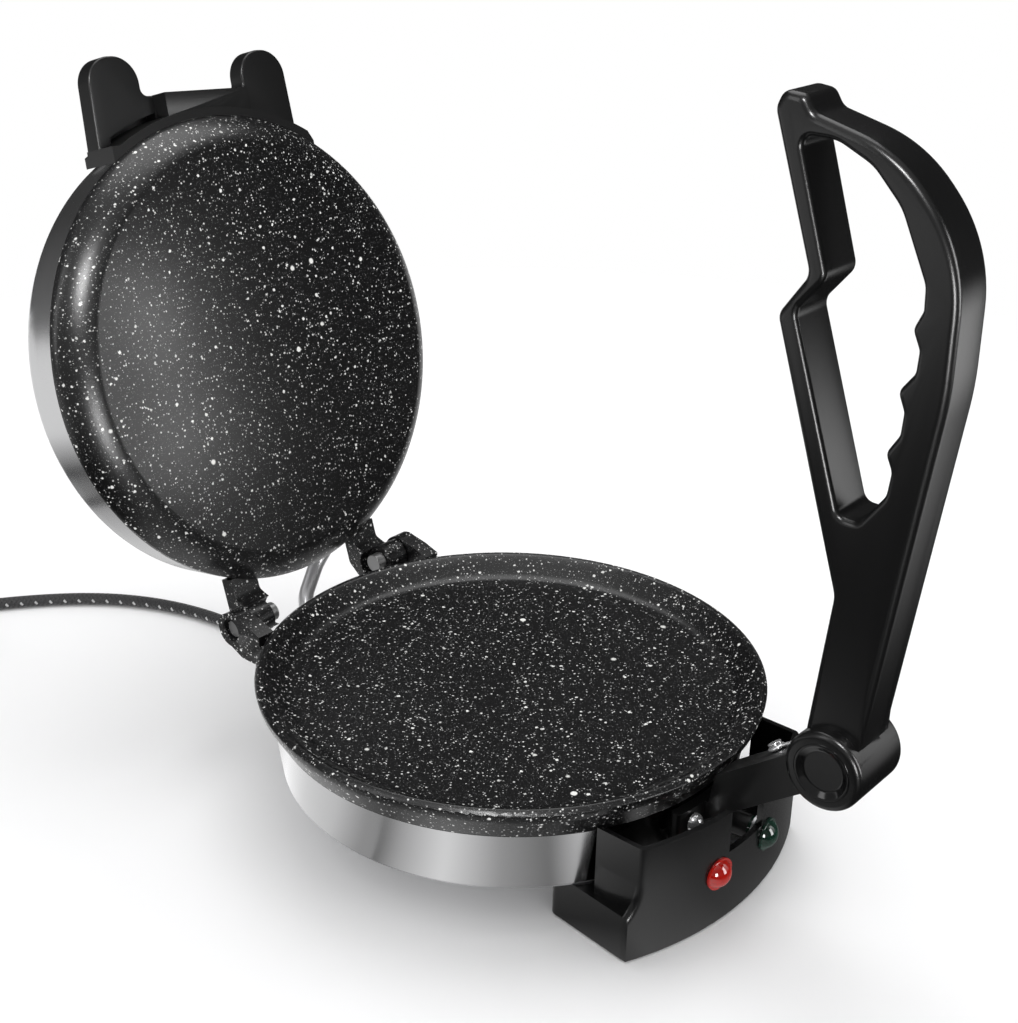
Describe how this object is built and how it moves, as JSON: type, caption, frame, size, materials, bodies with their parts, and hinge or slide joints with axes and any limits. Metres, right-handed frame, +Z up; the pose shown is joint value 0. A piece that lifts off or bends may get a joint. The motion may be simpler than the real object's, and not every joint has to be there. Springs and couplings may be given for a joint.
{
  "type": "electric roti maker",
  "caption": "Electric roti maker, open: round non-stick lower plate with rim, hinged heated lid laid back, and an upright press lever on a front bracket with signal lamps.",
  "frame": {"origin": "centre of the lower plate's flat cooking surface", "axes": "+Z up, square to the cooking surface; -Y to the front, where the press lever stands; +Y to the lid's hinge; +X to the right seen from the front"},
  "size_m": [0.3269, 0.6163, 0.3751],
  "materials": {
    "granite_coat": "non-stick coat, near black with fine and coarse white specks, satin",
    "polished_steel": "bright, soft reflections",
    "plain_steel": "plain",
    "element_steel": "dull, heat-tinted",
    "chrome": "polished",
    "black_plastic": "satin to gloss black",
    "red_lens": "clear red, glossy",
    "green_lens": "dark green, glossy",
    "ceramic": "white ceramic",
    "fibre_sleeve": "woven glass fibre",
    "rubber": "matte",
    "black_rubber": "satin",
    "cord_braid": "black braid with white flecks",
    "brass": "plain"
  },
  "bodies": {
    "base": {"lower_plate": "granite_coat", "lower_heater": "element_steel", "lower_clamp_plate": "plain_steel", "lower_clamp_screws": "plain_steel", "lower_shell": "polished_steel", "bottom_cover": "plain_steel", "bottom_screws": "chrome", "foot_screws": "chrome", "thermostat": "ceramic", "thermostat_bracket": "plain_steel", "thermal_fuse": "fibre_sleeve", "terminal_block": "ceramic", "front_housing": "black_plastic", "red_lamp_lens": "red_lens", "green_lamp_lens": "green_lens", "lamp_holders": "black_plastic", "lamp_clips": "plain_steel", "rear_foot": "black_plastic", "foot_pads": "rubber", "lever_bracket": "granite_coat", "bracket_screws": "chrome", "lever_axle": "plain_steel", "axle_nut": "plain_steel", "pivot_sleeve": "plain_steel", "return_spring": "plain_steel", "spring_screw": "chrome", "hinge_pins": "plain_steel", "hinge_nuts": "plain_steel", "conduit_base_gland": "black_rubber", "conduit": "polished_steel", "strain_relief": "black_rubber", "cord": "cord_braid", "cord_coil": "cord_braid", "plug_body": "black_plastic", "plug_pins": "brass"},
    "lid": {"upper_plate": "granite_coat", "upper_cover": "polished_steel", "cover_screws": "chrome", "upper_heater": "element_steel", "upper_clamp_plate": "plain_steel", "upper_clamp_screws": "plain_steel", "upper_insulation": "fibre_sleeve", "lid_handle": "black_plastic", "handle_screws": "plain_steel", "conduit_lid_gland": "black_rubber"},
    "lever": {"lever_near_half": "black_plastic", "lever_far_half": "black_plastic", "lever_screws": "plain_steel", "near_hub_cap": "black_plastic", "far_hub_cap": "black_plastic"}
  },
  "joints": [
    {"name": "lid_hinge", "type": "hinge", "parent": "base", "child": "lid", "pos_m": [0, 0.134, 0.0057], "axis": [1, 0, 0], "range_deg": [0, 106.9], "deforming": ["conduit"]},
    {"name": "lever_pivot", "type": "hinge", "parent": "base", "child": "lever", "pos_m": [0, -0.185, 0.0375], "axis": [-1, 0, 0], "range_deg": [0, 73], "stiffness_Nm_per_rad": 0.25, "springref_deg": -20.05, "deforming": ["return_spring"]}
  ]
}
